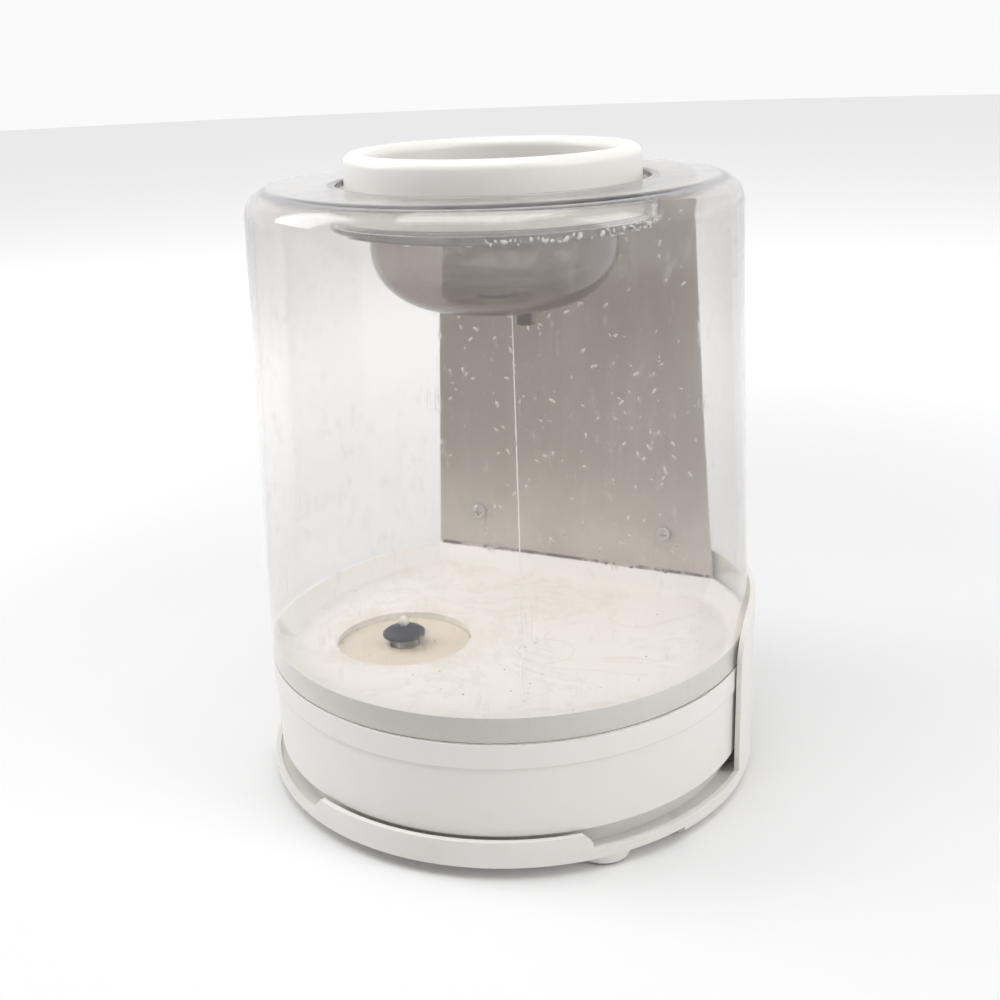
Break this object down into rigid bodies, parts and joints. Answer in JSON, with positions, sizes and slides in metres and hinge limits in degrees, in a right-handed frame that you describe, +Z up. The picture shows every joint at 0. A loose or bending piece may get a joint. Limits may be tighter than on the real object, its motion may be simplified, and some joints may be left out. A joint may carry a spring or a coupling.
{
  "type": "cool mist humidifier",
  "caption": "Tabletop cool mist humidifier: smoky clear lift-off tank with mist collar, drip bowl and valve cap on a round white base with a fan and mist generator.",
  "frame": {"origin": "on the floor under the tank's axis, at the centre of the base", "axes": "+Z up, -Y the front, the control panel and the mist chimney at +Y"},
  "size_m": [0.226, 0.226, 0.2787],
  "materials": {
    "white_shell": "moulded white, satin",
    "dish_white": "moulded off-white, lightly stained",
    "smoke_clear": "smoky transparent",
    "panel_brown": "grey-brown, scratched",
    "ivory": "moulded ivory",
    "cream": "moulded cream",
    "natural_plastic": "natural",
    "black_rubber": "matte",
    "grey_rubber": "matte",
    "steel": "plain",
    "brass": "plain",
    "piezo": "silvered disc",
    "aluminium": "plain",
    "core_iron": "varnished laminations",
    "winding": "taped winding",
    "board": "printed board",
    "component_black": "moulded black",
    "component_blue": "sleeved",
    "knob_grey": "moulded grey",
    "lens_amber": "translucent amber",
    "foam": "open-cell foam",
    "bead": "aged bonding bead",
    "nylon": "fine clear filament"
  },
  "bodies": {
    "base": {"base_tray": "white_shell", "foot_pads": "grey_rubber", "deck_screws": "steel", "base_deck": "white_shell", "valve_post": "natural_plastic", "transducer_seal": "black_rubber", "transducer_disc": "piezo", "transducer_retainer": "steel", "retainer_screws": "steel", "mist_nozzle": "natural_plastic", "fan_housing": "component_black", "fan_motor": "steel", "air_filter": "foam", "air_duct": "component_black", "driver_board": "board", "heat_sink": "aluminium", "power_transistor": "component_black", "board_capacitors": "component_blue", "board_coil": "winding", "transformer_core": "core_iron", "transformer_winding": "winding", "mist_control": "component_black", "control_nut": "brass", "power_switch": "component_black", "lamp_lens": "lens_amber", "cord_inlet": "component_black", "float_guide": "natural_plastic"},
    "fan_wheel": {"fan_shaft": "steel", "fan_impeller": "natural_plastic"},
    "knob": {"control_spindle": "brass", "mist_knob": "knob_grey"},
    "rocker": {"power_rocker": "component_black"},
    "float": {"float_ring": "natural_plastic"},
    "tank": {"tank_shell": "smoke_clear", "tank_dish": "dish_white", "partition_panel": "panel_brown", "panel_screws": "steel", "bond_bead": "bead", "drip_bowl": "smoke_clear", "drip_thread": "nylon"},
    "collar": {"mist_collar": "ivory"},
    "cap": {"tank_cap": "cream", "cap_gasket": "black_rubber", "valve_spring": "steel"},
    "valve": {"valve_plunger": "natural_plastic", "valve_seal": "black_rubber", "valve_clip": "steel"}
  },
  "joints": [
    {"name": "tank_lift", "type": "slide", "parent": "base", "child": "tank", "axis": [0, 0, 1], "range_m": [0, 0.075]},
    {"name": "collar_lift", "type": "slide", "parent": "tank", "child": "collar", "axis": [0, 0, 1], "range_m": [0, 0.03]},
    {"name": "cap_turn", "type": "hinge", "parent": "tank", "child": "cap", "pos_m": [-0.042, -0.0242, 0.0528], "axis": [0, 0, 1], "range_deg": [0, 90]},
    {"name": "valve_slide", "type": "slide", "parent": "cap", "child": "valve", "axis": [0, 0, 1], "range_m": [-0.004, 0]},
    {"name": "fan_spin", "type": "hinge", "parent": "base", "child": "fan_wheel", "pos_m": [0.05, -0.004, 0.045], "axis": [0, 0, 1], "continuous": true},
    {"name": "knob_turn", "type": "hinge", "parent": "base", "child": "knob", "pos_m": [-0.032, 0.1, 0.032], "axis": [0, 1, 0], "range_deg": [0, 270]},
    {"name": "rocker_tilt", "type": "hinge", "parent": "base", "child": "rocker", "pos_m": [0.032, 0.1006, 0.026], "axis": [1, 0, 0], "range_deg": [0, 18]},
    {"name": "float_rise", "type": "slide", "parent": "base", "child": "float", "axis": [0, 0, 1], "range_m": [0, 0.01]}
  ],
  "couplings": [
    {"joint": "valve_slide", "follows": "tank_lift", "ratio": -0.053333}
  ]
}
